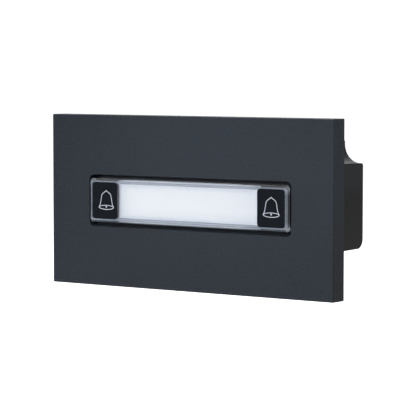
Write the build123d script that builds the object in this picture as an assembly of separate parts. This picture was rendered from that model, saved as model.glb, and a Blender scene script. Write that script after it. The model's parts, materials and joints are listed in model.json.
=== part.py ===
# Intercom button module: a wide rocker key with a lit name strip between two bell pads,
# in a coated metal face plate that carries a moulded housing with its circuit board.
# Millimetres. X runs to the right, Y runs back into the wall and Z runs up.
# The origin is the centre of the plane in which the plate's rear rim meets the wall.
import os
from math import radians, sqrt, tan

from build123d import *

# Face plate: a shallow tray with a rim all round
plate_width = 100.0
plate_height = 50.0
plate_depth = 5.3
plate_wall = 2.2
rim_wall = 2.0
plate_edge_radius = 0.3
tray_corner_radius = 1.5

# Recess in the plate, and its gaps round the key
recess_from_end = 13.93
recess_end_gap = 0.47
recess_side_gap = 1.18
recess_corner_radius = 1.5
recess_edge = 0.2

# Corner fixings: blind tapped holes in bosses that end flush with the rim
fixing_from_end = 4.4
fixing_from_edge = 7.8
fixing_boss_size = 6.4
fixing_hole_radius = 1.25
fixing_skin = 1.1

# Gasket between the plate and the housing's flange
gasket_thickness = 1.0
gasket_inset = 0.2
fixing_clearance = 0.4

# Rear housing: a bar with a taller middle block, scooped out round the two upper fixings
# and stepped in past the two lower ones
housing_depth = 15.6
housing_from_end = 4.0
housing_rise = 0.3
block_from_edge = 4.6
block_corner_cut = 2.4
scoop_radius = 5.3
housing_draft = 1.2
housing_wall = 1.6
housing_floor = 1.8
upper_rear_radius = 0.75
lower_rear_radius = 2.8
flange_thickness = 1.2
flange_clearance = 0.3
flange_corner_radius = 1.2

# Case screws: from wells in the housing's ends, through the board and the key frame, into the plate
case_screw_from_wall = 5.8
case_thread_radius = 1.05
case_thread_skin = 0.9
case_boss_radius = 2.2
case_boss_height = 2.1
case_hole_clearance = 0.3
well_radius = 2.5
well_wall = 1.2
well_end = 1.6
screw_head_radius = 2.2
screw_head_height = 1.5
screw_radial_clearance = 0.05
screw_end_clearance = 0.2
drive_radius = 1.1
drive_depth = 0.8

# Key frame: stepped tray behind the recess, with the key's two bearings
frame_edge_inset = 0.4
frame_step = 0.1
tray_wall = 1.5
tray_depth = 1.6
floor_thickness = 1.2
floor_end_landing = 1.6
floor_side_landing = 0.55
floor_window_radius = 1.0
bearing_wall = 1.5
bearing_half_width = 2.7
bearing_tail = 1.7
bearing_mouth = 2.0

# Standoffs on the key frame: they register on the plate's bosses and carry the board
standoff_radius = 3.4
standoff_boss_clearance = 0.1

# Clear key cap: a shallow lid with a bevel all round
cap_corner_radius = 1.15
cap_bevel = 0.72
cap_proud = 0.5
cap_window = 1.65
cap_skirt_wall = 0.9
cap_skirt_depth = 1.55

# Bell pads, inlaid in the cap's front
pad_width = 9.35
pad_height = 10.7
pad_end_margin = 0.58
pad_side_margin = 0.43
pad_thickness = 0.8
pad_setback = 0.05
pad_bond = 0.02
pad_corner_radius = 0.95
pad_clearance = 0.02

# Name strip between the pads, on the opal diffuser behind the cap
label_height = 9.9
label_thickness = 0.25
label_clearance = 0.05
label_gap = 0.05
diffuser_end_margin = 0.45

# Key carrier: pads' backing, light window, pivot pins and press posts
carrier_clearance = 0.1
carrier_end_gap = 0.7
carrier_side_gap = 0.4
carrier_rear_depth = 2.0
carrier_corner_radius = 1.0
window_end_margin = 1.45
window_side_margin = 0.65
pivot_depth = 1.2
pin_radius = 1.2
pin_clearance = 0.05
pin_end_gap = 0.1
ear_half_width = 1.9
key_travel = 1.4
post_size = 2.6
post_tip_chamfer = 0.5
post_gap = 0.1

# Circuit board
board_front = 5.0
board_thickness = 1.6
board_clearance = 0.4

# Push switches under the key's ends
switch_size = 6.2
switch_height = 3.4
switch_cover = 0.6
chamber_size = 4.5
chamber_depth = 2.0
plunger_radius = 1.6
plunger_clearance = 0.05
plunger_rise = 1.05
collar_gap = 0.2
collar_thickness = 0.4
collar_room = 0.1

# Lamps and the light box round them
lamp_count = 4
lamp_length = 3.5
lamp_width = 2.8
lamp_height = 1.9
light_box_wall = 0.8
light_box_end_gap = 0.3
light_box_side_gap = 0.6
light_box_front_gap = 1.1

# Controller chip on the board's rear
chip_size = 7.0
chip_thickness = 1.4
chip_from_edge = 9.9
chip_edge = 0.3

# Bus connector: a shrouded header that looks out of the housing's rear wall
pin_pitch = 2.54
pins_per_row = 5
pin_size = 0.64
pin_hole_clearance = 0.02
pin_recess = 1.5
connector_length = 20.3
connector_height = 8.9
connector_setback = 0.4
connector_wall = 1.2
connector_base = 2.4
connector_notch = 4.5
connector_window_clearance = 0.3

# Depths that follow from the sizes above, from the front to the rear
plate_front = -plate_depth
plate_inner = plate_front + plate_wall
flange_front = plate_inner + gasket_thickness
flange_rear = flange_front + flange_thickness
floor_front = plate_inner + tray_depth
floor_rear = floor_front + floor_thickness
cap_front = plate_front - cap_proud
pad_front = cap_front + pad_setback
pad_rear = pad_front + pad_thickness
cap_inner = cap_front + cap_window
label_front = cap_inner + label_gap
carrier_step = cap_inner + cap_skirt_depth
carrier_rear = carrier_step + carrier_rear_depth
board_rear = board_front + board_thickness
switch_front = board_front - switch_height
plunger_tip = switch_front - plunger_rise
connector_rear = housing_depth - connector_setback
screw_seat = board_rear + well_end
case_boss_rear = plate_inner + case_boss_height
case_hole_radius = case_thread_radius + case_hole_clearance

# Widths that follow from the plate's inward, and heights that follow from the pads' outward
recess_width = plate_width - 2 * recess_from_end
cap_width = recess_width - 2 * recess_end_gap
label_length = cap_width - 2 * (cap_bevel + pad_end_margin + pad_width)
cap_height = pad_height + 2 * (pad_side_margin + cap_bevel)
recess_height = cap_height + 2 * recess_side_gap
floor_window_width = cap_width - 2 * floor_end_landing
floor_window_height = cap_height - 2 * floor_side_landing
carrier_rear_width = floor_window_width - 2 * carrier_end_gap
carrier_rear_height = floor_window_height - 2 * carrier_side_gap
light_window_width = label_length - 2 * window_end_margin
light_window_height = label_height - 2 * window_side_margin
light_box_length = light_window_width - 2 * light_box_end_gap
light_box_height = light_window_height - 2 * light_box_side_gap
lamp_spacing = light_box_length / lamp_count
pad_centre = (label_length + pad_width) / 2
key_end_length = (cap_width - 2 * cap_skirt_wall) / 2 - carrier_clearance
diffuser_half_length = label_length / 2 + diffuser_end_margin
carrier_height = cap_height - 2 * cap_skirt_wall - 2 * carrier_clearance
bearing_inner = floor_window_height / 2
bearing_outer = bearing_inner + bearing_wall
travel_at_post = pad_centre * radians(key_travel)

# The housing, the fixings and the case screws follow from the plate's outline
fixing_x = plate_width / 2 - fixing_from_end
fixing_z = plate_height / 2 - fixing_from_edge
housing_width = plate_width - 2 * housing_from_end
bar_height = 2 * (fixing_z - scoop_radius)
block_height = plate_height - 2 * block_from_edge
case_screw_x = housing_width / 2 - case_screw_from_wall
chip_z = chip_from_edge - block_height / 2


def mirrored_points(x, z):
    """The four points at this distance either side of both centre lines."""
    return [(side * x, level * z) for side in (-1, 1) for level in (-1, 1)]


def fixing_points():
    """Centres of the four corner fixings."""
    return mirrored_points(fixing_x, fixing_z)


def case_screw_points():
    """Centres of the two case screws, one at each end of the key."""
    return [(-case_screw_x, 0), (case_screw_x, 0)]


def slab(sketch, front, rear):
    """A flat piece with this outline, seen from the front, between two depths."""
    return extrude(Plane.XZ.offset(-rear) * sketch, rear - front)


def discs(points, radius):
    """One disc of the same radius at every point."""
    return Sketch() + [Pos(x, z) * Circle(radius) for x, z in points]


def squares(points, size):
    """One square of the same size at every point."""
    return Sketch() + [Pos(x, z) * Rectangle(size, size) for x, z in points]


def draft_growth(depth):
    """How far the drafted housing has grown outward at this depth, from its rear wall."""
    return (housing_depth - depth) * tan(radians(housing_draft))


def bar_outline(grow):
    """The housing's long bar at its rear wall, moved outward by a distance."""
    return Pos(0, housing_rise) * Rectangle(housing_width + 2 * grow, bar_height + 2 * grow)


def block_outline(grow):
    """The taller block across the bar, with cut corners that keep the wall's thickness."""
    block = Rectangle(2 * (fixing_x - scoop_radius + grow), block_height + 2 * grow)
    return Pos(0, housing_rise) * chamfer(block.vertices(), block_corner_cut + grow * (2 - sqrt(2)))


def scooped_outline(grow):
    """The housing's rear outline, moved outward by a distance: the bar, the block and the upper scoops."""
    web = Rectangle(2 * fixing_x, 2 * fixing_z) - discs(fixing_points(), scoop_radius - grow)
    web = web & Pos(0, fixing_z / 2) * Rectangle(housing_width + 2 * grow, fixing_z)
    return bar_outline(grow) + block_outline(grow) + Pos(0, housing_rise) * web


def flange_outline(inset):
    """The tray's inner outline less a gap, cut back round the corner fixings."""
    gap = flange_clearance + inset
    sheet = RectangleRounded(
        plate_width - 2 * rim_wall - 2 * gap, plate_height - 2 * rim_wall - 2 * gap, flange_corner_radius
    )
    return sheet - squares(fixing_points(), fixing_boss_size + 2 * fixing_clearance)


def make_front_plate():
    """The coated face plate with its recess, rim, corner fixings and screw bosses."""
    plate = slab(Rectangle(plate_width, plate_height), plate_front, 0)
    corners = plate.edges().filter_by(Axis.Y)
    plate = fillet(corners + plate.faces().sort_by(Axis.Y)[0].edges(), plate_edge_radius)
    tray = RectangleRounded(plate_width - 2 * rim_wall, plate_height - 2 * rim_wall, tray_corner_radius)
    plate -= slab(tray, plate_inner, 0)
    plate += slab(squares(fixing_points(), fixing_boss_size), plate_inner, 0)
    plate += slab(discs(case_screw_points(), case_boss_radius), plate_inner, case_boss_rear)
    plate -= slab(discs(fixing_points(), fixing_hole_radius), plate_front + fixing_skin, 0)
    threads = discs(case_screw_points(), case_thread_radius)
    plate -= slab(threads, plate_front + case_thread_skin, case_boss_rear)
    recess = RectangleRounded(recess_width, recess_height, recess_corner_radius)
    plate -= slab(recess, plate_front, plate_inner)
    mouth = plate.faces().sort_by(Axis.Y)[0].inner_wires()[0].edges()
    return chamfer(mouth, recess_edge)


def make_plate_gasket():
    """The flat sheet that seals the flange to the plate, round the key frame's edge."""
    sheet = flange_outline(gasket_inset) - bar_outline(gasket_inset - frame_edge_inset)
    return slab(sheet, plate_inner, flange_front)


def drafted(outline, rear):
    """A block with this outline at the housing's rear plane, whose walls spread towards the front."""
    block = slab(outline, flange_front, rear)
    rear_plane = Plane(origin=(0, housing_depth, 0), x_dir=(-1, 0, 0), z_dir=(0, 1, 0))
    walls = [face for face in block.faces() if abs(face.normal_at(face.center()).Y) < 0.5]
    return draft(walls, rear_plane, housing_draft)


def make_rear_housing():
    """The drafted tub with its scoops, rounded rear edges, flange and connector window."""
    shell = round_rear_edges(drafted(scooped_outline(0), housing_depth))
    shell += slab(flange_outline(0), flange_front, flange_rear)
    shell -= drafted(scooped_outline(-housing_wall), housing_depth - housing_floor)
    window = Rectangle(
        connector_length + 2 * connector_window_clearance, connector_height + 2 * connector_window_clearance
    )
    shell -= slab(Pos(0, housing_rise) * window, housing_depth - housing_floor - 1, housing_depth)
    well_walls = discs(case_screw_points(), well_radius + well_wall)
    shell += slab(well_walls, board_rear, housing_depth - housing_floor / 2)
    shell -= slab(discs(case_screw_points(), well_radius), screw_seat, housing_depth)
    return shell - slab(discs(case_screw_points(), case_hole_radius), board_rear, screw_seat)


def round_rear_edges(shell):
    """Round the long rear edges: a small radius above and a larger one below."""
    edge_band = bar_height / 2 - lower_rear_radius
    rear = shell.faces().sort_by(Axis.Y)[-1].edges()
    shell = fillet([e for e in rear if e.center().Z - housing_rise < -edge_band], lower_rear_radius)
    rear = shell.faces().sort_by(Axis.Y)[-1].edges()
    return fillet([e for e in rear if e.center().Z - housing_rise > edge_band], upper_rear_radius)


def make_case_screws():
    """Two long screws, with round heads in the housing's wells and shanks in the plate's bosses."""
    points = case_screw_points()
    head_rear = screw_seat + screw_head_height
    tip = plate_front + case_thread_skin + screw_end_clearance
    screws = slab(discs(points, case_thread_radius - screw_radial_clearance), tip, screw_seat)
    screws += slab(discs(points, screw_head_radius), screw_seat, head_rear)
    drives = [Pos(x, z) * RegularPolygon(drive_radius, 6) for x, z in points]
    return screws - slab(Sketch() + drives, head_rear - drive_depth, head_rear)


def make_key_frame():
    """The stepped tray that floors the gap round the key and holds its bearings."""
    tray_width = recess_width + 2 * frame_step
    tray_height = recess_height + 2 * frame_step
    tray_corner = recess_corner_radius + frame_step
    frame = slab(bar_outline(-frame_edge_inset), plate_inner, flange_front)
    tray_outer = RectangleRounded(
        tray_width + 2 * tray_wall, tray_height + 2 * tray_wall, tray_corner + tray_wall
    )
    frame += slab(tray_outer, plate_inner, floor_rear)
    frame -= slab(RectangleRounded(tray_width, tray_height, tray_corner), plate_inner, floor_front)
    floor_window = RectangleRounded(floor_window_width, floor_window_height, floor_window_radius)
    frame -= slab(floor_window, floor_front, floor_rear)
    for side in (-1, 1):
        frame += make_bearing(side)
    socket_rear = case_boss_rear + standoff_boss_clearance
    frame += slab(discs(case_screw_points(), standoff_radius), flange_front, board_front)
    sockets = discs(case_screw_points(), case_boss_radius + standoff_boss_clearance)
    frame -= slab(sockets, plate_inner, socket_rear)
    return frame - slab(discs(case_screw_points(), case_hole_radius), socket_rear, board_front)


def make_bearing(side):
    """One snap-in bearing: a round seat for a pivot pin, with a narrower mouth to the rear."""
    seat_radius = pin_radius + pin_clearance
    tail = pivot_depth + bearing_tail
    ear = Pos(0, (floor_front + tail) / 2) * Rectangle(2 * bearing_half_width, tail - floor_front)
    seat = Pos(0, pivot_depth) * Circle(seat_radius)
    mouth = Pos(0, (pivot_depth + tail) / 2) * Rectangle(bearing_mouth, tail - pivot_depth)
    ear = ear - seat - mouth
    low = min(side * bearing_inner, side * bearing_outer)
    return extrude(Plane.XY.offset(low) * ear, bearing_wall)


def make_key_cap():
    """The clear cap: bevelled front, pockets for the two pads, and a skirt to the rear."""
    cap = slab(RectangleRounded(cap_width, cap_height, cap_corner_radius), cap_front, carrier_step)
    cap = chamfer(cap.faces().sort_by(Axis.Y)[0].edges(), cap_bevel)
    inside_width = cap_width - 2 * cap_skirt_wall
    inside_height = cap_height - 2 * cap_skirt_wall
    cap -= slab(Rectangle(inside_width, inside_height), cap_inner, carrier_step)
    pocket = RectangleRounded(
        pad_width + 2 * pad_clearance, pad_height + 2 * pad_clearance, pad_corner_radius + pad_clearance
    )
    for side in (-1, 1):
        cap -= slab(Pos(side * pad_centre, 0) * pocket, cap_front, pad_rear + pad_bond)
    return cap


def make_bell_pad(side):
    """One black pad, set a hair's breadth below the cap's front."""
    outline = Pos(side * pad_centre, 0) * RectangleRounded(pad_width, pad_height, pad_corner_radius)
    return slab(outline, pad_front, pad_rear)


def make_name_label():
    """The bare white card."""
    return slab(Rectangle(label_length, label_height), label_front, label_front + label_thickness)


def make_diffuser():
    """The opal block behind the card, with a shallow seat for it."""
    block = slab(Rectangle(2 * diffuser_half_length, carrier_height), label_front, carrier_step)
    seat = Rectangle(label_length + 2 * label_clearance, label_height + 2 * label_clearance)
    return block - slab(seat, label_front, label_front + label_thickness)


def make_key_carrier():
    """The black moulding under the cap, with its light window, pivot pins and press posts."""
    rear = RectangleRounded(carrier_rear_width, carrier_rear_height, carrier_corner_radius)
    body = slab(rear, carrier_step, carrier_rear)
    backing_length = key_end_length - diffuser_half_length - label_clearance
    for side in (-1, 1):
        middle = side * (key_end_length - backing_length / 2)
        body += slab(Pos(middle, 0) * Rectangle(backing_length, carrier_height), label_front, carrier_step)
    body -= slab(Rectangle(light_window_width, light_window_height), carrier_step, carrier_rear)
    for side in (-1, 1):
        body += make_pivot_ear(side)
        foot = Pos(side * pad_centre, 0) * Rectangle(post_size, post_size)
        post = slab(foot, carrier_rear, plunger_tip - post_gap)
        body += chamfer(post.faces().sort_by(Axis.Y)[-1].edges(), post_tip_chamfer)
    return body


def make_pivot_ear(side):
    """One ear behind the carrier's rail, with a pin that points outward along the pivot axis."""
    rail_inner = light_window_height / 2
    rail_outer = carrier_rear_height / 2
    ear = Pos(0, (carrier_step + pivot_depth) / 2) * Rectangle(2 * ear_half_width, pivot_depth - carrier_step)
    ear += Pos(0, pivot_depth) * Circle(ear_half_width)
    low = min(side * rail_inner, side * rail_outer)
    plate = extrude(Plane.XY.offset(low) * ear, rail_outer - rail_inner)
    pin_end = bearing_outer - pin_end_gap
    low = min(side * rail_inner, side * pin_end)
    pin = Plane.XY.offset(low) * (Pos(0, pivot_depth) * Circle(pin_radius))
    return plate + extrude(pin, pin_end - rail_inner)


def make_circuit_board():
    """The board, cut to the housing's inside, with clearance holes for the case screws."""
    grow = draft_growth(board_rear) - housing_wall - board_clearance
    outline = bar_outline(grow) + block_outline(grow) - discs(case_screw_points(), case_hole_radius)
    return slab(outline, board_front, board_rear)


def make_switch(side):
    """One push switch: a square case with a stepped chamber for its plunger."""
    centre = Pos(side * pad_centre, 0)
    case = slab(centre * Rectangle(switch_size, switch_size), switch_front, board_front)
    chamber_front = switch_front + switch_cover
    case -= slab(centre * Circle(plunger_radius + plunger_clearance), switch_front, chamber_front)
    chamber = centre * Rectangle(chamber_size, chamber_size)
    return case - slab(chamber, chamber_front, chamber_front + chamber_depth)


def make_plunger(side):
    """One switch plunger, held half pressed by the key: a stem with a retaining collar."""
    collar_front = switch_front + switch_cover + travel_at_post + collar_room
    collar_rear = collar_front + collar_thickness
    centre = Pos(side * pad_centre, 0)
    plunger = slab(centre * Circle(plunger_radius), plunger_tip, collar_front)
    collar_size = chamber_size - 2 * collar_gap
    return plunger + slab(centre * Rectangle(collar_size, collar_size), collar_front, collar_rear)


def make_light_box():
    """The white box open to the front and rear that keeps the lamps' light behind the label."""
    ring = Rectangle(light_box_length, light_box_height)
    ring -= Rectangle(light_box_length - 2 * light_box_wall, light_box_height - 2 * light_box_wall)
    return slab(ring, carrier_rear + light_box_front_gap, board_front)


def make_lamp(index):
    """One surface lamp, a plain block on the board."""
    x = (index - (lamp_count - 1) / 2) * lamp_spacing
    return slab(Pos(x, 0) * Rectangle(lamp_length, lamp_width), board_front - lamp_height, board_front)


def make_controller_chip():
    """The controller's square package on the board's rear."""
    package = slab(Pos(0, chip_z) * Rectangle(chip_size, chip_size), board_rear, board_rear + chip_thickness)
    return chamfer(package.faces().sort_by(Axis.Y)[-1].edges(), chip_edge)


def pin_points():
    """Centres of the connector's pins, in two rows."""
    columns = [(index - (pins_per_row - 1) / 2) * pin_pitch for index in range(pins_per_row)]
    rows = (housing_rise - pin_pitch / 2, housing_rise + pin_pitch / 2)
    return [(x, z) for x in columns for z in rows]


def make_bus_connector():
    """The shroud of the header, with its pin holes and the notch for the plug's key."""
    middle = Pos(0, housing_rise)
    shroud = slab(middle * Rectangle(connector_length, connector_height), board_rear, connector_rear)
    inner = Rectangle(connector_length - 2 * connector_wall, connector_height - 2 * connector_wall)
    cavity_front = board_rear + connector_base
    shroud -= slab(middle * inner, cavity_front, connector_rear)
    notch_z = housing_rise - connector_height / 2 + connector_wall / 2
    shroud -= slab(Pos(0, notch_z) * Rectangle(connector_notch, connector_wall), cavity_front, connector_rear)
    return shroud - slab(squares(pin_points(), pin_size + 2 * pin_hole_clearance), board_rear, cavity_front)


def make_connector_pins():
    """The header's pins, from the board to just inside the shroud's mouth."""
    return slab(squares(pin_points(), pin_size), board_rear, connector_rear - pin_recess)


parts = {
    "front_plate": make_front_plate(),
    "plate_gasket": make_plate_gasket(),
    "rear_housing": make_rear_housing(),
    "case_screws": make_case_screws(),
    "key_frame": make_key_frame(),
    "circuit_board": make_circuit_board(),
    "light_box": make_light_box(),
    "controller_chip": make_controller_chip(),
    "bus_connector": make_bus_connector(),
    "connector_pins": make_connector_pins(),
    "key_cap": make_key_cap(),
    "name_label": make_name_label(),
    "diffuser": make_diffuser(),
    "key_carrier": make_key_carrier(),
}
for name, side in (("left", -1), ("right", 1)):
    parts[name + "_bell_pad"] = make_bell_pad(side)
    parts[name + "_switch"] = make_switch(side)
    parts[name + "_plunger"] = make_plunger(side)
for index in range(lamp_count):
    parts["led_" + str(index + 1)] = make_lamp(index)

os.makedirs("parts", exist_ok=True)
for node, shape in parts.items():
    export_step(shape, "parts/" + node + ".step")
print("wrote", len(parts), "pieces")
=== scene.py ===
import json
import math

import bmesh
import bpy
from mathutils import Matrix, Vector


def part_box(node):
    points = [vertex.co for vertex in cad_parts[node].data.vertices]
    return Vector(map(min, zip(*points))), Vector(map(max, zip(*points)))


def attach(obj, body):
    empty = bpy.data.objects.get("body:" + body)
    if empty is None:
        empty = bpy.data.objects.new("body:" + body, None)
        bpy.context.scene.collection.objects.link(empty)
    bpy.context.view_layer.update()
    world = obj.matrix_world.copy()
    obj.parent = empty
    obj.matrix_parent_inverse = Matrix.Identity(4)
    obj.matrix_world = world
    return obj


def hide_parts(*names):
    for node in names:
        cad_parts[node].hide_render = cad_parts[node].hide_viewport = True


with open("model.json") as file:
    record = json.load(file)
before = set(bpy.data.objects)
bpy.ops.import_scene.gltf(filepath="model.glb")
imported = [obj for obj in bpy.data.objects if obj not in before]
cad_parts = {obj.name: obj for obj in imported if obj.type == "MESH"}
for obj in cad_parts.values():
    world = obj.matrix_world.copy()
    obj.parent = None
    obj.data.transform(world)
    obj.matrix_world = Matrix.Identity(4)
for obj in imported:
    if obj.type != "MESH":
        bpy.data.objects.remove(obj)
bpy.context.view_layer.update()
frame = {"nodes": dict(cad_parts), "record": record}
mm = 0.001


# the camera stands where the photograph was taken from

camera = {
    "place": (387.14 * mm, -512.78 * mm, 40.45 * mm),
    "turn": 36.794,      # degrees to the left of straight ahead
    "tilt": -3.72,       # degrees, down is negative
    "lens": 194.75,
    "sensor": 36.0,
    "clip": (0.01, 50),
}


def makeCamera(look):
    data = bpy.data.cameras.new("photoCamera")
    data.lens = look["lens"]
    data.sensor_width = look["sensor"]
    data.clip_start, data.clip_end = look["clip"]
    piece = bpy.data.objects.new("photoCamera", data)
    piece.location = look["place"]
    piece.rotation_euler = (math.radians(90 + look["tilt"]), 0, math.radians(look["turn"]))
    bpy.context.scene.collection.objects.link(piece)
    bpy.context.scene.camera = piece


makeCamera(camera)
bpy.context.scene.view_settings.view_transform = "Standard"


# materials

class Wire:
    # a node's socket, so that values can be worked with in plain sums
    def __init__(self, finish, socket):
        self.finish = finish
        self.socket = socket

    def __add__(self, other):
        return self.finish.maths("ADD", self, other)

    def __sub__(self, other):
        return self.finish.maths("SUBTRACT", self, other)

    def __rsub__(self, other):
        return self.finish.maths("SUBTRACT", other, self)

    def __mul__(self, other):
        return self.finish.maths("MULTIPLY", self, other)

    __radd__ = __add__
    __rmul__ = __mul__


class Finish:
    # one procedural material
    def __init__(self, name):
        self.material = bpy.data.materials.new(name)
        self.material.use_nodes = True
        self.tree = self.material.node_tree
        self.tree.nodes.clear()
        self.place = self.add("ShaderNodeTexCoord", out="Object")

    def add(self, kind, settings=None, values=None, out=0):
        node = self.tree.nodes.new(kind)
        for name, value in (settings or {}).items():
            if name == "stops":
                self.setStops(node, value)
            else:
                setattr(node, name, value)
        for name, value in (values or {}).items():
            if isinstance(value, Wire):
                self.tree.links.new(value.socket, node.inputs[name])
            else:
                node.inputs[name].default_value = value
        return Wire(self, node.outputs[out]) if node.outputs else None

    def setStops(self, node, stops):
        ramp = node.color_ramp.elements
        while len(ramp) < len(stops):
            ramp.new(0.5)
        for element, (where, level) in zip(ramp, stops):
            element.position = where
            element.color = (level, level, level, 1)

    def maths(self, operation, first, second=0.0):
        return self.add("ShaderNodeMath", {"operation": operation}, {0: first, 1: second})

    def size(self, value):
        return self.maths("ABSOLUTE", value)

    def most(self, first, second):
        return self.maths("MAXIMUM", first, second)

    def step(self, value, width, start=0.0):
        # 0 up to the start, rising to 1 over this width
        return self.add("ShaderNodeMapRange", None, {
            "Value": value, "From Min": start, "From Max": start + width})

    def parts(self, vector):
        node = self.add("ShaderNodeSeparateXYZ", None, {"Vector": vector}).socket.node
        return [Wire(self, socket) for socket in node.outputs]

    def noise(self, scale, detail=2.0, roughness=0.5):
        return self.add("ShaderNodeTexNoise", None, {
            "Vector": self.place, "Scale": scale, "Detail": detail, "Roughness": roughness})

    def ramp(self, value, *stops):
        return self.add("ShaderNodeValToRGB", {"stops": stops}, {"Fac": value})

    def blend(self, factor, first, second):
        # from the first colour to the second
        return self.add("ShaderNodeMix", {"data_type": "RGBA"}, {
            0: factor, 6: first, 7: second}, out=2)

    def span(self, value, low, high):
        # from low to high as the value goes from 0 to 1
        return value * (high - low) + low

    def share(self, part, first, second):
        # a sum in which the second value has this part, and the first the rest
        return first * (1 - part) + second * part

    def bump(self, height, depth, strength):
        return self.add("ShaderNodeBump", None, {
            "Height": height, "Distance": depth, "Strength": strength})

    def output(self, shader):
        self.add("ShaderNodeOutputMaterial", None, {"Surface": shader})
        return self.material

    def surface(self, values):
        return self.output(self.add("ShaderNodeBsdfPrincipled", None, values))


def paint(red, green, blue):
    # a screen colour from 0 to 255, as a linear colour
    def linear(value):
        share = value / 255
        return share / 12.92 if share <= 0.04045 else ((share + 0.055) / 1.055) ** 2.4
    return (linear(red), linear(green), linear(blue), 1)


black = (0, 0, 0, 1)

plateCoat = {
    "pale": paint(40, 45, 51),
    "dark": paint(30, 34, 40),
    "cloud": 60,                       # broad shading, per metre, and its share of the colour
    "cloudShare": 0.35,
    "grain": 1500,                     # bumps per metre
    "spread": (0.36, 0.64),            # noise levels at which a bump starts and is full
    "speck": (0.62, 0.74),             # and the same for the paler specks
    "speckShare": 0.25,
    "speckHeight": 0.3,
    "bump": (0.08 * mm, 0.55),         # depth and strength
    "gloss": (0.42, 0.58),             # roughness between the bumps and on them
    "specular": 0.15,
    # painted sheen: the coat is painted paler towards this colour at its upper middle, where the light
    # falls most; each pair is a width and where it starts
    "paintedSheen": paint(62, 68, 76),
    "paintedSheenShare": 0.22,
    "paintedSheenUp": (32 * mm, -22 * mm),
    "paintedSheenAlong": (45 * mm, -48 * mm),
    "paintedSheenEnd": (30 * mm, 10 * mm),     # from here on it gets weaker by the next share
    "paintedSheenLoss": 0.25,
    # painted shade and sheen: the plate's right-hand side is painted darker, and painted paler on its way
    # up
    "side": (0.1 * mm, 49.8 * mm),
    "sidePaintedShade": 0.3,
    "sideUp": (40 * mm, -20 * mm),
    "sidePaintedSheen": 1.2,
}


def makePlateCoat(look):
    # stoved powder coat: fine even grain over faint broad shading, with a painted sheen at its upper middle
    # and painted shade on its right-hand side
    f = Finish("plateCoat")
    bumpStart, bumpFull = look["spread"]
    speckStart, speckFull = look["speck"]
    grain = f.ramp(f.noise(look["grain"], 3.0, 0.6), (bumpStart, 0.0), (bumpFull, 1.0))
    speck = f.ramp(f.noise(look["grain"] * 1.7, 1.0), (speckStart, 0.0), (speckFull, 1.0))
    shading = f.share(look["cloudShare"], grain, f.noise(look["cloud"], 3.0))
    x, y, z = f.parts(f.place)
    side = f.step(x, *look["side"])
    # painted sheen: paler towards the upper middle, and more so up the right-hand side
    paintedSheen = f.step(z, *look["paintedSheenUp"]) * f.step(x, *look["paintedSheenAlong"])
    paintedSheen = paintedSheen * (1 - f.step(x, *look["paintedSheenEnd"]) * look["paintedSheenLoss"])
    paintedSheen = paintedSheen + side * f.step(z, *look["sideUp"]) * look["sidePaintedSheen"]
    colour = f.blend(shading, look["dark"], look["pale"])
    # painted shade: the right-hand side is painted darker
    colour = f.blend(side * look["sidePaintedShade"], colour, black)
    colour = f.blend(paintedSheen * look["paintedSheenShare"], colour, look["paintedSheen"])
    return f.surface({
        "Base Color": f.blend(speck * look["speckShare"], colour, look["pale"]),
        "Roughness": f.span(grain, *look["gloss"]),
        "Specular IOR Level": look["specular"],
        "Normal": f.bump(grain + speck * look["speckHeight"], *look["bump"]),
    })


sparkTexture = {
    "cloud": 45,                # broad shading, per metre, and its share of the colour
    "cloudShare": 0.4,
    "pitScale": 0.6,            # as a share of the grain's scale
    "pitHeight": 0.5,
    "gloss": (0.45, 0.65),
    "strength": 0.6,
}
housingPlastic = {
    "pale": paint(31, 32, 32), "dark": paint(21, 22, 22),
    "grain": 2600, "grainHeight": 0.02 * mm, "specular": 0.2,
    "upper": paint(38, 40, 43),         # painted sheen: its upper part is painted paler for the light from above; then the width and start of the change
    "upperSheenFrom": (7 * mm, 2 * mm),
}
framePlastic = {
    "pale": paint(45, 49, 55), "dark": paint(35, 39, 45),
    "grain": 4000, "grainHeight": 0.006 * mm, "specular": 0.3,
}
switchPlastic = {
    "pale": paint(44, 44, 46), "dark": paint(34, 34, 36),
    "grain": 6000, "grainHeight": 0.004 * mm, "specular": 0.4,
}
headerPlastic = {
    "pale": paint(34, 35, 38), "dark": paint(24, 25, 27),
    "grain": 5000, "grainHeight": 0.005 * mm, "specular": 0.4,
}
plungerPlastic = {
    "pale": paint(176, 176, 170), "dark": paint(160, 160, 154),
    "grain": 6000, "grainHeight": 0.003 * mm, "specular": 0.4,
}
chipEpoxy = {
    "pale": paint(38, 38, 40), "dark": paint(26, 26, 28),
    "grain": 9000, "grainHeight": 0.006 * mm, "specular": 0.3,
}
sealRubber = {
    "pale": paint(38, 38, 39), "dark": paint(26, 26, 27),
    "grain": 2500, "grainHeight": 0.01 * mm, "specular": 0.25,
}


def makeSparkPlastic(name, look):
    # moulded plastic with the fine matt texture of a spark-eroded tool
    look = {**sparkTexture, **look}
    f = Finish(name)
    grain = f.noise(look["grain"], 4.0, 0.65)
    pits = f.add("ShaderNodeTexVoronoi", {"feature": "F1"}, {
        "Vector": f.place, "Scale": look["grain"] * look["pitScale"]})
    shading = f.share(look["cloudShare"], grain, f.noise(look["cloud"], 2.0))
    colour = f.blend(shading, look["dark"], look["pale"])
    # painted sheen: the upper part is painted paler for the light from above
    if "upper" in look:
        x, y, z = f.parts(f.place)
        colour = f.blend(f.step(z, *look["upperSheenFrom"]), colour, look["upper"])
    return f.surface({
        "Base Color": colour,
        "Roughness": f.span(grain, *look["gloss"]),
        "Specular IOR Level": look["specular"],
        "Normal": f.bump(grain + pits * look["pitHeight"], look["grainHeight"], look["strength"]),
    })


padPlastic = {
    "pale": paint(19, 23, 29),
    "dark": paint(13, 16, 21),
    "specular": 0.08,
    "grain": 7000,
    "rubbing": 420,              # its patches, per metre
    "rubbed": (0.35, 0.75),      # noise levels at which it starts and is full
    "gloss": 0.42,
    "bump": (0.003 * mm, 0.4),
}


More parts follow.
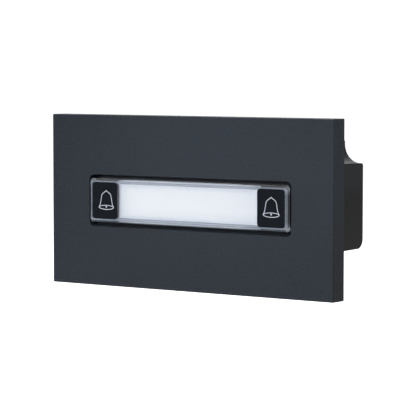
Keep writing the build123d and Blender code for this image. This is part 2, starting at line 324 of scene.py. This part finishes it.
def makePadPlastic(look):
    # satin black pad, lightly rubbed by fingers
    f = Finish("padPlastic")
    rubbedStart, rubbedFull = look["rubbed"]
    grain = f.noise(look["grain"], 3.0, 0.6)
    rubbed = f.ramp(f.noise(look["rubbing"], 3.0), (rubbedStart, 0.0), (rubbedFull, 1.0))
    return f.surface({
        "Base Color": f.blend(grain * 0.5 + rubbed * 0.3, look["dark"], look["pale"]),
        "Roughness": look["gloss"] - rubbed * 0.08 + grain * 0.06,
        "Specular IOR Level": look["specular"],
        "Normal": f.bump(grain, *look["bump"]),
    })


clearPlastic = {
    "tint": (0.955, 0.975, 1.0, 1),
    "ior": 1.585,
    "gloss": (0.008, 0.02),
    "window": (34.3 * mm, 4.95 * mm),      # half length and half height of the polished part
    # the satin band round the window
    "bandPale": (0.25, 0.275, 0.33, 1),
    "bandDark": (0.19, 0.215, 0.27, 1),
    "bandGloss": (0.3, 0.4),
    "milk": 0.5,
    # the bevel: its start and end below the front, and its tints, painted paler by the label and darker by
    # the pads as painted light
    "bevelDepth": (0.05 * mm, 0.75 * mm),
    "bevelByPads": (0.42, 0.46, 0.52, 1),
    "bevelByLabel": (0.56, 0.61, 0.68, 1),
    "endBevel": (34.9 * mm, 0.25 * mm, 0.7 * mm),      # where it starts, how deep its satin and its painted glow go
    # painted light: glow painted into the clear rim along the long sides, at the ends and at the corners
    "paintedGlowByPads": (0.046, 0.053, 0.066, 1),
    "paintedGlowOverLabel": (0.108, 0.116, 0.134, 1),
    "paintedGlowUnderLabel": (0.160, 0.172, 0.196, 1),
    "paintedGlowAtEnds": (0.020, 0.023, 0.028, 1),
    "paintedGlowAtCorners": (0.105, 0.114, 0.132, 1),
    "paintedGlowDepth": (0.15 * mm, 0.6 * mm),    # how deep it goes, by the pads and elsewhere
    "labelFade": (0.5 * mm, 7 * mm),       # where it ends past the label, and the length of its fading
    "corner": (1.6 * mm, 3.7 * mm),        # the height over which it comes in there, and from where
    # painted shade: the pads' pocket walls beside the label are painted dark
    "pocketPaint": paint(30, 33, 39),
    "shadeReach": 0.08 * mm,
}


def makeClearPlastic(look):
    # polished clear window and bevels, with a satin band on the flat between them; the rim carries painted
    # glow, the bevel a painted tint of light, the pads' pocket walls painted shade
    f = Finish("clearPlastic")
    # widths over which one place turns into the next
    soft, crisp, sharp, hair = 0.1 * mm, 0.05 * mm, 0.02 * mm, 0.01 * mm
    rimWidth, cornerWidth, belowWidth = 0.3 * mm, 0.5 * mm, 1 * mm
    marks = f.ramp(f.noise(1500, 4.0, 0.7), (0.5, 0.0), (0.8, 1.0))
    grain = f.noise(6000, 3.0)
    x, y, z = f.parts(f.place)
    along, across = f.size(x), f.size(z)
    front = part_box("key_cap")[0].y
    depth = y - front
    halfLength, halfHeight = look["window"]
    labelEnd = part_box("name_label")[1].x
    padLow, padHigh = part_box("right_bell_pad")
    padDepth = padHigh.y - front

    # places on the cap
    reach, fade = look["labelFade"]
    byLabel = f.step(labelEnd + reach - along, fade)
    below = f.step(0.0 - z, belowWidth)
    corner = f.step(along - halfLength, cornerWidth) * f.step(across, *look["corner"])
    border = f.step(f.most(along - halfLength, across - halfHeight), soft)
    endStart, endSatin, endDepth = look["endBevel"]
    ends = f.step(along - endStart, soft) * f.step(halfHeight + rimWidth - across, rimWidth)
    onEnd = f.step(endDepth - depth, crisp)
    face = f.step(ends * endSatin + sharp - depth, hair)
    bevelStart, bevelEnd = look["bevelDepth"]
    bevel = f.step(depth - bevelStart, soft) * f.step(bevelEnd - depth, crisp)
    shallow, deep = look["paintedGlowDepth"]
    paintedGlowDepth = f.most(f.most(below, corner), byLabel) * (deep - shallow) + shallow
    rim = f.step(across - halfHeight, rimWidth) * f.step(paintedGlowDepth - depth, soft)
    # painted shade goes on the pads' pocket walls beside the label
    wall = f.step(look["shadeReach"] - f.size(along - padLow.x), sharp) * f.step(depth - sharp, sharp)
    wall = wall * f.step(padDepth + 2 * sharp - depth, sharp) * f.step(padHigh.z + crisp - across, sharp)

    # colours there; the rim's glow is painted light, strongest below the label
    paintedSideGlow = f.blend(below, look["paintedGlowOverLabel"], look["paintedGlowUnderLabel"])
    paintedSideGlow = f.blend(byLabel, look["paintedGlowByPads"], paintedSideGlow)
    paintedGlow = f.blend(rim, f.blend(ends * onEnd, black, look["paintedGlowAtEnds"]), paintedSideGlow)
    paintedGlow = f.blend(corner * onEnd, paintedGlow, look["paintedGlowAtCorners"])
    # painted light: the bevel's tint is paler by the label and darker by the pads
    bevelTint = f.blend(byLabel, look["bevelByPads"], look["bevelByLabel"])
    band = f.blend(grain, look["bandDark"], look["bandPale"])
    polished = f.add("ShaderNodeBsdfPrincipled", None, {
        "Base Color": f.blend(bevel, look["tint"], bevelTint),
        "Roughness": f.span(marks, *look["gloss"]),
        "IOR": look["ior"],
        "Transmission Weight": 1.0,
        "Emission Color": paintedGlow,
        "Emission Strength": 1.0,
    })
    satin = f.add("ShaderNodeBsdfPrincipled", None, {
        "Base Color": f.blend(wall, band, look["pocketPaint"]),
        "Roughness": f.span(grain, *look["bandGloss"]),
        "IOR": look["ior"],
        "Emission Color": paintedGlow,
        "Emission Strength": 1.0,
    })
    cover = f.most(border * face * look["milk"], wall)
    return f.output(f.add("ShaderNodeMixShader", None, {0: cover, 1: polished, 2: satin}))


labelCard = {
    "pale": (0.93, 0.94, 0.95, 1),
    "dark": (0.89, 0.90, 0.915, 1),
    # painted light: the card's glow for the light from behind, in its middle and at its edges
    "paintedGlow": (0.98, 0.90, 0.855, 1),
    "paintedEdgeGlow": (0.25, 0.26, 0.38, 1),
    "strength": 0.3,
    "fibres": 2600,
    "pulp": 260,
    "pulpShare": 0.4,
    "gloss": (0.65, 0.75),
    "bump": (0.004 * mm, 0.5),
    # painted shade: the painted glow of the light from behind falls off towards each edge: over how many
    # mm, and what is left on the way in
    "fade": {
        "left": (6.0, ((0.0, 0.0), (0.1, 0.1), (0.2, 0.45), (0.35, 0.72), (0.6, 0.9), (1.0, 1.0))),
        "right": (20.0, (
            (0.0, 0.0), (0.028, 0.1), (0.04, 0.65), (0.15, 0.74), (0.4, 0.84), (0.7, 0.95), (1.0, 1.0))),
        "top": (3.4, ((0.0, 0.45), (0.24, 0.52), (0.33, 0.62), (0.41, 0.8), (0.74, 0.93), (1.0, 1.0))),
        "bottom": (3.4, ((0.0, 0.0), (0.13, 0.2), (0.21, 0.45), (0.3, 0.65), (0.6, 0.78), (1.0, 1.0))),
    },
}


def makeLabelCard(look):
    # bare white card with fine fibres, with a painted glow for the soft light from behind that is painted
    # darker towards each edge
    f = Finish("labelCard")
    fibre = f.noise(look["fibres"], 5.0, 0.7)
    shading = f.share(look["pulpShare"], fibre, f.noise(look["pulp"], 3.0))
    low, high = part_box("name_label")
    x, y, z = f.parts(f.place)
    inward = {"left": x - low.x, "right": high.x - x, "top": high.z - z, "bottom": z - low.z}
    # painted shade: the glow is darker towards each edge
    shade = 1.0
    for edge, (reach, stops) in look["fade"].items():
        shade = f.ramp(f.step(inward[edge], reach * mm), *stops) * shade
    return f.surface({
        "Base Color": f.blend(shading, look["dark"], look["pale"]),
        "Roughness": f.span(fibre, *look["gloss"]),
        "Emission Color": f.blend(shade, look["paintedEdgeGlow"], look["paintedGlow"]),
        "Emission Strength": look["strength"],
        "Normal": f.bump(fibre, *look["bump"]),
    })


opalPlastic = {
    "pale": (0.40, 0.42, 0.45, 1),
    "dark": (0.34, 0.36, 0.39, 1),
    "strength": 0.16,
    "cloud": 300,
    "grain": 5000,
    "gloss": (0.35, 0.45),
    "bump": (0.002 * mm, 0.4),
}


def makeOpalPlastic(look):
    # milky diffuser, lit from behind
    f = Finish("opalPlastic")
    grain = f.noise(look["grain"], 2.0)
    milk = f.blend(f.noise(look["cloud"], 3.0), look["dark"], look["pale"])
    return f.surface({
        "Base Color": milk,
        "Roughness": f.span(grain, *look["gloss"]),
        "Emission Color": milk,
        "Emission Strength": look["strength"],
        "Normal": f.bump(grain, *look["bump"]),
    })


whitePlastic = {
    "pale": (0.88, 0.88, 0.86, 1),
    "dark": (0.80, 0.80, 0.77, 1),
    "flow": 180,
    "grain": 5200,
    "gloss": (0.3, 0.42),
    "bump": (0.003 * mm, 0.4),
}


def makeWhitePlastic(look):
    # light box: bright white with faint flow marks
    f = Finish("whitePlastic")
    flow = f.noise(look["flow"], 4.0, 0.6)
    grain = f.noise(look["grain"], 2.0)
    return f.surface({
        "Base Color": f.blend(flow, look["dark"], look["pale"]),
        "Roughness": f.span(grain, *look["gloss"]),
        "Normal": f.bump(grain, *look["bump"]),
    })


# finishes with one even grain, given by its scale, detail and roughness

lampBody = {                    # ceramic white
    "pale": (0.90, 0.88, 0.80, 1), "dark": (0.80, 0.78, 0.70, 1),
    "grain": (9000, 2.0, 0.5), "gloss": (0.3, 0.45), "bump": (0.002 * mm, 0.3),
}
lampGel = {                     # yellow phosphor over the lamp's chip
    "pale": (0.92, 0.78, 0.22, 1), "dark": (0.82, 0.62, 0.10, 1),
    "grain": (6000, 4.0, 0.7), "gloss": (0.12, 0.27), "bump": (0.004 * mm, 0.4),
    "glowPale": (1.0, 0.95, 0.75, 1), "glowDark": (1.0, 0.85, 0.45, 1), "glowStrength": 0.4,
}
pinMetal = {                    # gold flash over brass
    "pale": (0.90, 0.70, 0.32, 1), "dark": (0.78, 0.55, 0.20, 1), "metal": 1.0,
    "grain": (3500, 3.0, 0.5), "gloss": (0.16, 0.34), "bump": (0.002 * mm, 0.4),
}
bareMetal = {                   # cut aluminium, where the thread goes through the coat
    "pale": (0.70, 0.71, 0.72, 1), "dark": (0.52, 0.53, 0.55, 1), "metal": 1.0,
    "grain": (5000, 4.0, 0.6), "gloss": (0.25, 0.45), "bump": (0.003 * mm, 0.4),
}
signInk = {                     # pale grey, screened on
    "pale": paint(192, 194, 204), "dark": paint(176, 178, 188),
    "grain": (9000, 3.0, 0.5), "gloss": (0.5, 0.6), "bump": (0.002 * mm, 0.3),
}


def makeGrained(name, look):
    f = Finish(name)
    grain = f.noise(*look["grain"])
    values = {
        "Base Color": f.blend(grain, look["dark"], look["pale"]),
        "Metallic": look.get("metal", 0.0),
        "Roughness": f.span(grain, *look["gloss"]),
        "Normal": f.bump(grain, *look["bump"]),
    }
    if "glowStrength" in look:
        values["Emission Color"] = f.blend(grain, look["glowDark"], look["glowPale"])
        values["Emission Strength"] = look["glowStrength"]
    return f.surface(values)


boardLaminate = {
    "mask": (0.012, 0.085, 0.035, 1),
    "trace": (0.022, 0.150, 0.060, 1),
    "glass": (0.030, 0.110, 0.050, 1),
    "traces": {
        "Scale": 260.0, "Mortar Size": 0.035, "Mortar Smooth": 0.2, "Brick Width": 1.6, "Row Height": 0.5},
    "weave": {"Scale": 900.0, "Distortion": 1.5},
    "weaveShare": 0.2,
    "weaveHeight": 0.05,
    "grain": 6000,
    "gloss": (0.25, 0.35),
    "specular": 0.5,
    "bump": (0.03 * mm, 0.5),
}


def makeBoardLaminate(look):
    # green solder mask over copper traces, with the glass weave faintly showing
    f = Finish("boardLaminate")
    x, y, z = f.parts(f.place)
    plane = f.add("ShaderNodeCombineXYZ", None, {"X": x, "Y": z})      # the board lies across Y
    runs = f.add("ShaderNodeTexBrick", {"offset": 0.5}, {"Vector": plane, **look["traces"]}, out="Fac")
    weave = f.add("ShaderNodeTexWave", {"wave_type": "BANDS", "bands_direction": "DIAGONAL"}, {
        "Vector": f.place, **look["weave"]})
    mask = f.blend(weave * look["weaveShare"], look["mask"], look["glass"])
    return f.surface({
        "Base Color": f.blend(runs, mask, look["trace"]),
        "Roughness": f.span(f.noise(look["grain"], 2.0), *look["gloss"]),
        "Specular IOR Level": look["specular"],
        "Normal": f.bump(runs + weave * look["weaveHeight"], *look["bump"]),
    })


screwMetal = {
    "pale": (0.66, 0.67, 0.68, 1),
    "dark": (0.50, 0.52, 0.55, 1),
    "blotches": 900,
    "blotchHeight": 0.5,
    "grain": 8000,
    "gloss": 0.22,
    "bump": (0.003 * mm, 0.4),
}


def makeScrewMetal(look):
    # blue-passivated zinc with faint blotches
    f = Finish("screwMetal")
    blotch = f.noise(look["blotches"], 4.0, 0.6)
    grain = f.noise(look["grain"], 2.0)
    return f.surface({
        "Base Color": f.blend(blotch, look["dark"], look["pale"]),
        "Metallic": 1.0,
        "Roughness": grain * 0.15 + blotch * 0.1 + look["gloss"],
        "Normal": f.bump(grain + blotch * look["blotchHeight"], *look["bump"]),
    })


finishes = {
    "plate_metal": makePlateCoat(plateCoat),
    "seal_rubber": makeSparkPlastic("sealRubber", sealRubber),
    "housing_plastic": makeSparkPlastic("housingPlastic", housingPlastic),
    "screw_steel": makeScrewMetal(screwMetal),
    "frame_plastic": makeSparkPlastic("framePlastic", framePlastic),
    "board_laminate": makeBoardLaminate(boardLaminate),
    "switch_plastic": makeSparkPlastic("switchPlastic", switchPlastic),
    "white_plastic": makeWhitePlastic(whitePlastic),
    "lamp_body": makeGrained("lampBody", lampBody),
    "chip_epoxy": makeSparkPlastic("chipEpoxy", chipEpoxy),
    "connector_plastic": makeSparkPlastic("headerPlastic", headerPlastic),
    "pin_brass": makeGrained("pinMetal", pinMetal),
    "clear_plastic": makeClearPlastic(clearPlastic),
    "pad_plastic": makePadPlastic(padPlastic),
    "label_card": makeLabelCard(labelCard),
    "opal_plastic": makeOpalPlastic(opalPlastic),
    "plunger_plastic": makeSparkPlastic("plungerPlastic", plungerPlastic),
}
slotOf = {part["node"]: part["material_slot"] for part in frame["record"]["subparts"]}
for name, piece in frame["nodes"].items():
    piece.data.materials.clear()
    piece.data.materials.append(finishes[slotOf[name]])
print("finishes on", len(slotOf), "nodes")


# pieces made here, with their sizes in mm

def pieceFrom(bm, name, finish, body):
    # turns a finished bmesh into a piece that rides on a body
    bmesh.ops.recalc_face_normals(bm, faces=bm.faces)
    data = bpy.data.meshes.new(name)
    bm.to_mesh(data)
    bm.free()
    data.materials.append(finish)
    piece = bpy.data.objects.new(name, data)
    bpy.context.scene.collection.objects.link(piece)
    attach(piece, body)
    return piece


def skin(bm, rings, ends=True):
    # faces from each ring of points to the next, with the two ends closed
    for first, second in zip(rings, rings[1:]):
        for k in range(len(first)):
            bm.faces.new((first[k - 1], first[k], second[k], second[k - 1]))
    if ends:
        bm.faces.new(rings[0])
        bm.faces.new(rings[-1][::-1])


def ringOf(bm, middle, y, reachAt, corners):
    # points round a line along Y; reachAt gives their distance from it for each angle
    ring = []
    for k in range(corners):
        angle = math.tau * k / corners
        x = middle[0] + reachAt(angle) * math.cos(angle)
        z = middle[1] + reachAt(angle) * math.sin(angle)
        ring.append(bm.verts.new((x * mm, y * mm, z * mm)))
    return ring


def evenly(reach):
    return lambda angle: reach


bellSign = {
    "left": (-29.12, -0.16),    # where the sign stands on the key
    "right": (29.70, -0.04),
    "line": 0.205,
    "proud": 0.03,
    # half of the bell from its tip down to its lip
    "half": [(0.0, 3.14), (0.20, 2.92), (0.60, 2.68), (1.07, 2.40), (1.50, 2.04), (1.75, 1.58),
             (1.85, 1.06), (1.95, 0.49), (2.06, -0.06), (2.19, -0.59), (2.38, -1.16), (2.72, -1.74)],
    "mouth": (0.54, 0.67),      # how far the mouth bows up and down
    "mouthInset": 0.1,          # how far its upper line stops short of the lip
    "mouthLine": 0.9,           # and its width, as a share of the outline's
    "mouthSteps": 28,
    "slopeSteps": 4,            # between two points of the half
    "clapper": (0.0, -1.62, 0.26),
    "clapperCorners": 24,
    "lap": 0.01,                # how deep the ink starts in the pad
    "layer": 0.001,             # outline, clapper and upper line lie this far apart, so that none flickers
}


def smoothLine(points, steps):
    # an even curve through the points
    line = []
    last = len(points) - 1
    for index in range(last):
        before = points[max(index - 1, 0)]
        start, end = points[index], points[index + 1]
        after = points[min(index + 2, last)]
        for step in range(steps):
            t = step / steps
            line.append(tuple(
                b + t * (c - a) / 2 + t ** 2 * (2 * a - 5 * b + 4 * c - d) / 2
                + t ** 3 * (3 * b - a - 3 * c + d) / 2
                for a, b, c, d in zip(before, start, end, after)))
    line.append(points[-1])
    return line


def ribbon(bm, line, width, front, back, closed):
    # a flat strip of even width along a line in the X-Z plane
    count = len(line)
    rings = []
    for index, (x, z) in enumerate(line):
        before = Vector(line[index - 1] if closed or index else line[0])
        after = Vector(line[(index + 1) % count] if closed or index < count - 1 else line[-1])
        here = Vector((x, z))
        ahead = (after - here).normalized() if (after - here).length else (here - before).normalized()
        behind = (here - before).normalized() if (here - before).length else ahead
        along = (ahead + behind).normalized()
        side = Vector((-along.y, along.x))
        reach = width / 2 / max(side.dot(Vector((-ahead.y, ahead.x))), 0.5)
        rings.append([bm.verts.new((p.x * mm, y * mm, p.y * mm)) for p, y in (
            (here + side * reach, front), (here - side * reach, front),
            (here - side * reach, back), (here + side * reach, back))])
    if closed:
        skin(bm, rings + rings[:1], ends=False)
    else:
        skin(bm, rings)


def makeBellSign(side, look, ink):
    middleX, middleZ = look[side]
    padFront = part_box(side + "_bell_pad")[0].y / mm
    front, back = padFront - look["proud"], padFront + look["lap"]
    slope = smoothLine(look["half"], look["slopeSteps"])
    lipX, lipZ = look["half"][-1]
    steps = look["mouthSteps"]
    mouthUp, mouthDown = look["mouth"]
    turns = [(math.cos(math.pi * k / steps), math.sin(math.pi * k / steps)) for k in range(steps + 1)]
    lower = [(lipX * across, lipZ - mouthDown * up) for across, up in turns[1:-1]]
    outline = [(-x, z) for x, z in slope[:0:-1]] + slope + lower
    outline = [(x + middleX, z + middleZ) for x, z in outline]
    reach = lipX - look["mouthInset"]
    upper = [(middleX + reach * across, middleZ + lipZ + mouthUp * up) for across, up in turns]
    bm = bmesh.new()
    ribbon(bm, outline, look["line"], front, back, True)
    ribbon(bm, upper, look["line"] * look["mouthLine"], front + 2 * look["layer"], back, False)
    x, z, radius = look["clapper"]
    middle = (middleX + x, middleZ + z)
    corners = look["clapperCorners"]
    skin(bm, [ringOf(bm, middle, y, evenly(radius), corners) for y in (front + look["layer"], back)])
    return pieceFrom(bm, "bellSign_" + side, ink, "key")


screenedInk = makeGrained("signInk", signInk)
for side in ("left", "right"):
    makeBellSign(side, bellSign, screenedInk)
print("bell signs on both pads")


recessLip = {
    "half": (36.07, 7.68),      # half length and half height of the plate's recess
    "corner": 1.5,
    "thick": 0.2,               # how far the coat stands into the opening
    "rounding": 0.45,
    "rear": -3.15,
    "proud": 0.004,
    "lap": 0.07,                # how far it runs on over the plate's face
    "bond": 0.05,               # how far it reaches into the plate's wall
    "foot": (0.35, 0.06),       # depth of its hidden side, in the wall and under the face
    "steps": 8,
}


def makeRecessLip(look, finish):
    # coat built up round the recess's mouth, with the soft edge that stoving gives it
    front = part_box("front_plate")[0].y / mm - look["proud"]
    thick, rounding, steps = look["thick"], look["rounding"], look["steps"]
    start = thick - rounding
    wallFoot, faceFoot = look["foot"]
    profile = [(start - look["lap"], front)]
    for k in range(steps + 1):
        angle = math.pi / 2 * k / steps
        profile.append((start + rounding * math.sin(angle), front + rounding - rounding * math.cos(angle)))
    profile += [(thick, look["rear"]), (-look["bond"], look["rear"]), (-look["bond"], front + wallFoot),
                (start - look["lap"], front + faceFoot)]
    halfLength, halfHeight = look["half"]
    corner = look["corner"]
    bm = bmesh.new()
    rings = []
    for number, (sideX, sideZ) in enumerate([(1, 1), (-1, 1), (-1, -1), (1, -1)]):
        middleX, middleZ = sideX * (halfLength - corner), sideZ * (halfHeight - corner)
        for k in range(steps + 1):
            angle = math.pi / 2 * (number + k / steps)
            rings.append([bm.verts.new((
                (middleX + (corner - inward) * math.cos(angle)) * mm, y * mm,
                (middleZ + (corner - inward) * math.sin(angle)) * mm)) for inward, y in profile])
    skin(bm, rings + rings[:1], ends=False)
    return pieceFrom(bm, "recessLip", finish, "module")


makeRecessLip(recessLip, finishes["plate_metal"])
print("lip round the recess")


cornerThread = {
    "holes": (45.6, 17.2),       # distance of a hole from the middle, across and up
    "radius": 1.26,
    "depth": 0.13,
    "pitch": 0.5,
    "front": -4.15,
    "rear": -0.12,
    "steps": 24,
    "runOut": 12,                # steps over which the ridge fades at each end, and its least height
    "least": 0.02,
    "flanks": (0.06, 0.5, 0.94),     # foot, crest and foot of the ridge, as shares of the pitch
}


def makeThread(name, x, z, look, finish):
    # the ridge of a tapped hole, wound from its bottom to its mouth
    pitch, steps, runOut = look["pitch"], look["steps"], look["runOut"]
    total = int((look["rear"] - look["front"] - pitch) / pitch * steps)
    footBelow, crest, footAbove = look["flanks"]
    bm = bmesh.new()
    rings = []
    for k in range(total + 1):
        angle = math.tau * k / steps
        y = look["front"] + pitch * k / steps
        height = look["depth"] * max(min(1.0, k / runOut, (total - k) / runOut), look["least"])
        ring = []
        for share, cut in ((footBelow, 0.0), (crest, height), (footAbove, 0.0)):
            reach = look["radius"] - cut
            ring.append(bm.verts.new((
                (x + reach * math.cos(angle)) * mm, (y + pitch * share) * mm,
                (z + reach * math.sin(angle)) * mm)))
        rings.append(ring)
    skin(bm, rings)
    return pieceFrom(bm, name, finish, "module")


cutMetal = makeGrained("bareMetal", bareMetal)
acrossHole, upHole = cornerThread["holes"]
for number, (x, z) in enumerate([(-1, -1), (-1, 1), (1, -1), (1, 1)]):
    makeThread("cornerThread_%d" % (number + 1), x * acrossHole, z * upHole, cornerThread, cutMetal)
print("threads in the corner holes")


caseScrew = {
    "headRadius": 2.2,
    "headDepth": 1.5,
    "crown": 0.45,          # rounding of the head's rim
    "crownSteps": 5,
    "shank": 1.0,
    "tip": 0.55,            # the tip's radius as a share of the shank's
    "socketAcross": 1.9,    # across the flats of the hexagon
    "socketDepth": 0.9,
    "socketCone": 0.25,     # how far its drilled floor goes on
    "chamfer": (1.1, 0.08),     # the socket's mouth is this much larger, over this depth
    "pitch": 0.5,
    "threadLength": 6.0,
    "threadDepth": 0.16,
    "lead": 0.3,            # from the tip to the first turn
    "point": 0.001,         # radius of the tiny ring that closes an end
    "corners": 48,
}


def makeCaseScrews(look, finish):
    # both case screws as one piece: crowned heads with hexagon sockets, shanks with a cut thread
    low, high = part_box("case_screws")
    tip, rear = low.y / mm, high.y / mm
    seat = rear - look["headDepth"]
    crown, head, shank = look["crown"], look["headRadius"], look["shank"]
    centreX = high.x / mm - head
    halfTurn = look["pitch"] / 2

    def hexed(share):
        return lambda angle: share * look["socketAcross"] / 2 / math.cos(
            (angle + math.pi / 6) % (math.pi / 3) - math.pi / 6)

    profile = [(evenly(look["point"]), tip), (evenly(shank * look["tip"]), tip)]
    for k in range(int(look["threadLength"] / halfTurn)):
        cut = look["threadDepth"] if k % 2 == 0 else 0.0
        profile.append((evenly(shank - cut), tip + look["lead"] + k * halfTurn))
    profile += [(evenly(shank), tip + look["pitch"] + look["threadLength"]), (evenly(shank), seat),
                (evenly(head), seat), (evenly(head), rear - crown)]
    for k in range(1, look["crownSteps"] + 1):
        angle = math.pi / 2 * k / look["crownSteps"]
        outward, upward = crown * math.cos(angle), crown * math.sin(angle)
        profile.append((evenly(head - crown + outward), rear - crown + upward))
    mouth, mouthDepth = look["chamfer"]
    floor = rear - look["socketDepth"]
    profile += [(hexed(mouth), rear), (hexed(1.0), rear - mouthDepth), (hexed(1.0), floor),
                (evenly(look["point"]), floor - look["socketCone"])]
    bm = bmesh.new()
    for side in (-1, 1):
        skin(bm, [ringOf(bm, (side * centreX, 0.0), y, reachAt, look["corners"]) for reachAt, y in profile])
    piece = pieceFrom(bm, "caseScrews", finish, "module")
    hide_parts("case_screws")
    return piece


makeCaseScrews(caseScrew, finishes["screw_steel"])
print("case screws in place")


lampLens = {
    "radius": 1.15,
    "rise": 0.18,
    "sink": 0.02,
    "rings": 6,
    "corners": 32,
}


def makeLampLenses(look, finish):
    # a low dome of gel on each lamp
    for number in range(1, 5):
        low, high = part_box("led_%d" % number)
        middle = ((low.x + high.x) / 2 / mm, (low.z + high.z) / 2 / mm)
        front = low.y / mm
        profile = [(look["radius"], front + look["sink"])]
        for k in range(look["rings"]):
            angle = math.pi / 2 * k / look["rings"]
            profile.append((look["radius"] * math.cos(angle), front - look["rise"] * math.sin(angle)))
        bm = bmesh.new()
        skin(bm, [ringOf(bm, middle, y, evenly(reach), look["corners"]) for reach, y in profile])
        pieceFrom(bm, "lampLens_%d" % number, finish, "module")


makeLampLenses(lampLens, makeGrained("lampLens", lampGel))
print("lamp lenses in place")


# floor, room and lights

studio = {
    "floorDrop": 0.11,
    "floorReach": (-6.0, -0.25, 0.25, 6.0),      # left, front, right and rear edge
    "floorColours": ((0.3, 0.3, 0.3, 1), (0.34, 0.34, 0.34, 1)),
    "floorGlow": 0.95,
    "room": 0.27,                # how bright the room is all round
    "panel": 0.35,               # and where it is brightest, in this direction
    "panelSide": (-0.7, 0.7, 0.1),
    "panelEdge": (0.5, 0.95),    # how near to that direction it starts and is full
    "backdropLevel": 1.05,
    "lights": {
        "keySoftbox": {
            "place": (0.0, -1.35, 0.55), "size": (1.2, 0.8), "power": 18, "colour": (0.89, 0.95, 1.0)},
        "topSoftbox": {
            "place": (-0.75, -0.08, 1.0), "size": (0.9, 0.9), "power": 1.5, "colour": (1.0, 1.0, 1.0)},
        "rearSoftbox": {
            "place": (-0.35, 0.5, 1.3), "size": (0.5, 0.5), "power": 46, "colour": (1.0, 1.0, 1.0)},
    },
}


def makeFloor(look):
    f = Finish("paperFloor")
    dark, pale = look["floorColours"]
    grain = f.noise(900, 3.0)
    paper = f.surface({
        "Base Color": f.blend(grain, dark, pale),
        "Roughness": 0.9,
        "Specular IOR Level": 0.1,
        "Emission Color": (1, 1, 1, 1),
        "Emission Strength": look["floorGlow"],
        "Normal": f.bump(grain, 0.02 * mm, 0.2),
    })
    left, front, right, rear = look["floorReach"]
    bm = bmesh.new()
    bm.faces.new([bm.verts.new((x, y, -look["floorDrop"])) for x, y in (
        (left, front), (right, front), (right, rear), (left, rear))])
    data = bpy.data.meshes.new("paperFloor")
    bm.to_mesh(data)
    bm.free()
    data.materials.append(paper)
    floor = bpy.data.objects.new("paperFloor", data)
    bpy.context.scene.collection.objects.link(floor)


def makeRoom(look):
    # white studio: the camera sees a bright backdrop, and one side of the room lights the part more
    world = bpy.data.worlds.new("studioRoom")
    bpy.context.scene.world = world
    world.use_nodes = True
    nodes, links = world.node_tree.nodes, world.node_tree.links
    nodes.clear()
    path, where, towards, level, lit, seen, both, out = (nodes.new("ShaderNode" + kind) for kind in (
        "LightPath", "TexCoord", "VectorMath", "MapRange",
        "Background", "Background", "MixShader", "OutputWorld"))
    towards.operation = "DOT_PRODUCT"
    towards.inputs[1].default_value = look["panelSide"]
    edgeStart, edgeEnd = look["panelEdge"]
    for name, value in (
            ("From Min", edgeStart), ("From Max", edgeEnd),
            ("To Min", look["room"]), ("To Max", look["panel"])):
        level.inputs[name].default_value = value
    seen.inputs["Strength"].default_value = look["backdropLevel"]
    for background in (lit, seen):
        background.inputs["Color"].default_value = (1, 1, 1, 1)
    links.new(where.outputs["Generated"], towards.inputs[0])
    links.new(towards.outputs["Value"], level.inputs["Value"])
    links.new(level.outputs[0], lit.inputs["Strength"])
    links.new(path.outputs["Is Camera Ray"], both.inputs[0])
    links.new(lit.outputs[0], both.inputs[1])
    links.new(seen.outputs[0], both.inputs[2])
    links.new(both.outputs[0], out.inputs["Surface"])


def makeLights(look):
    for name, light in look["lights"].items():
        data = bpy.data.lights.new(name, "AREA")
        data.shape = "RECTANGLE"
        data.size, data.size_y = light["size"]
        data.energy = light["power"]
        data.color = light["colour"]
        piece = bpy.data.objects.new(name, data)
        piece.location = light["place"]
        piece.rotation_euler = (-Vector(light["place"])).to_track_quat("-Z", "Y").to_euler()
        bpy.context.scene.collection.objects.link(piece)


makeFloor(studio)
makeRoom(studio)
makeLights(studio)
print("floor, room and lights made")
